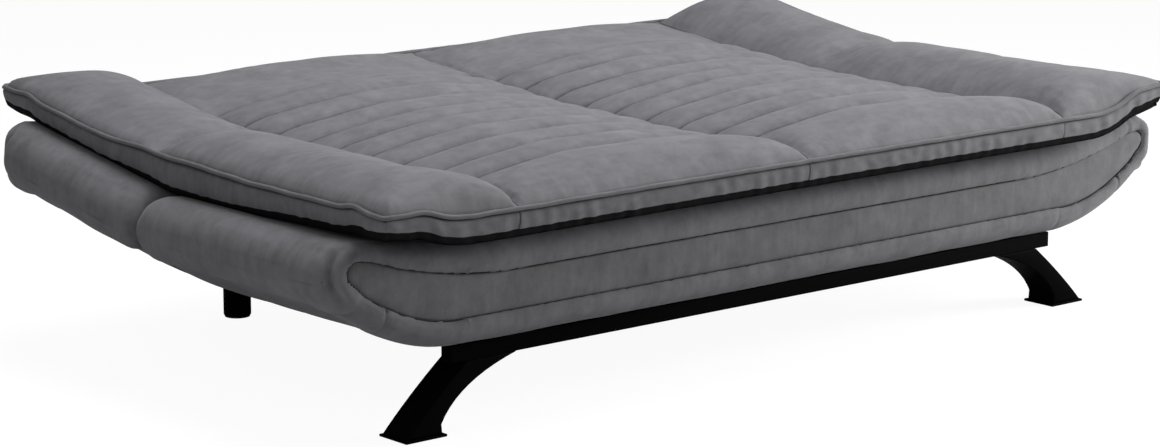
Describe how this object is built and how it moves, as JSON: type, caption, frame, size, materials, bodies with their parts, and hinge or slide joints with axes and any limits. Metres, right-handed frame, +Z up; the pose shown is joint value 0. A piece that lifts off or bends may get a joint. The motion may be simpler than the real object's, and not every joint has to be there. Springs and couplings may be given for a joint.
{
  "type": "click clack sofa bed",
  "caption": "Click clack sofa bed laid flat: boat-shaped padded seat and folding back under a ribbed topper, on a black steel base with curved front legs and round rear posts.",
  "frame": {"origin": "on the floor under the middle of the footprint, with the bed laid flat", "axes": "+X along the sofa's length, +Y from the seat towards the folding back, +Z up"},
  "size_m": [2.0922, 1.2038, 0.5312],
  "materials": {
    "cover_fabric": "matte",
    "panel_fabric": "matte",
    "liner": "matte",
    "black_steel": "satin",
    "zinc_steel": "satin",
    "frame_wood": "matte",
    "glide_plastic": "matte"
  },
  "bodies": {
    "seat": {"seat_block": "cover_fabric", "seat_front_panel": "panel_fabric", "seat_topper": "cover_fabric", "seat_dust_cover": "liner", "seat_fold_board": "frame_wood", "seat_outer_board": "frame_wood", "seat_end_board_left": "frame_wood", "seat_end_board_right": "frame_wood", "seat_slat_1": "frame_wood", "seat_slat_2": "frame_wood", "seat_slat_3": "frame_wood", "seat_slat_4": "frame_wood", "seat_slat_5": "frame_wood", "front_rail": "black_steel", "rear_rail": "black_steel", "side_rail_left": "black_steel", "side_rail_right": "black_steel", "front_leg_left": "black_steel", "front_leg_right": "black_steel", "foot_pad_left": "black_steel", "foot_pad_right": "black_steel", "rear_leg_left": "black_steel", "rear_leg_right": "black_steel", "rear_leg_glide_left": "glide_plastic", "rear_leg_glide_right": "glide_plastic", "seat_hinge_plate_left": "zinc_steel", "seat_hinge_plate_right": "zinc_steel", "pivot_bolt_left": "zinc_steel", "pivot_bolt_right": "zinc_steel", "pivot_nut_left": "zinc_steel", "pivot_nut_right": "zinc_steel", "pawl_pin_left": "zinc_steel", "pawl_pin_right": "zinc_steel", "pawl_spring_left": "zinc_steel", "pawl_spring_right": "zinc_steel"},
    "back": {"back_block": "cover_fabric", "back_end_panel": "panel_fabric", "back_topper": "cover_fabric", "back_dust_cover": "liner", "back_fold_board": "frame_wood", "back_outer_board": "frame_wood", "back_end_board_left": "frame_wood", "back_end_board_right": "frame_wood", "back_batten_left": "frame_wood", "back_batten_right": "frame_wood", "back_slat_1": "frame_wood", "back_slat_2": "frame_wood", "back_slat_3": "frame_wood", "back_hinge_plate_left": "zinc_steel", "back_hinge_plate_right": "zinc_steel", "post_bracket_left": "black_steel", "post_bracket_right": "black_steel", "post_left": "black_steel", "post_right": "black_steel", "post_glide_left": "glide_plastic", "post_glide_right": "glide_plastic"},
    "pawl_left": {"pawl_left": "zinc_steel"},
    "pawl_right": {"pawl_right": "zinc_steel"}
  },
  "joints": [
    {"name": "back_fold", "type": "hinge", "parent": "seat", "child": "back", "pos_m": [0, 0.07015, 0.34], "axis": [1, 0, 0], "range_deg": [0, 66]},
    {"name": "pawl_left_click", "type": "hinge", "parent": "seat", "child": "pawl_left", "pos_m": [-0.7428, 0.01148, 0.33231], "axis": [1, 0, 0], "range_deg": [0, 5]},
    {"name": "pawl_right_click", "type": "hinge", "parent": "seat", "child": "pawl_right", "pos_m": [0.7428, 0.01148, 0.33231], "axis": [1, 0, 0], "range_deg": [0, 5]}
  ]
}
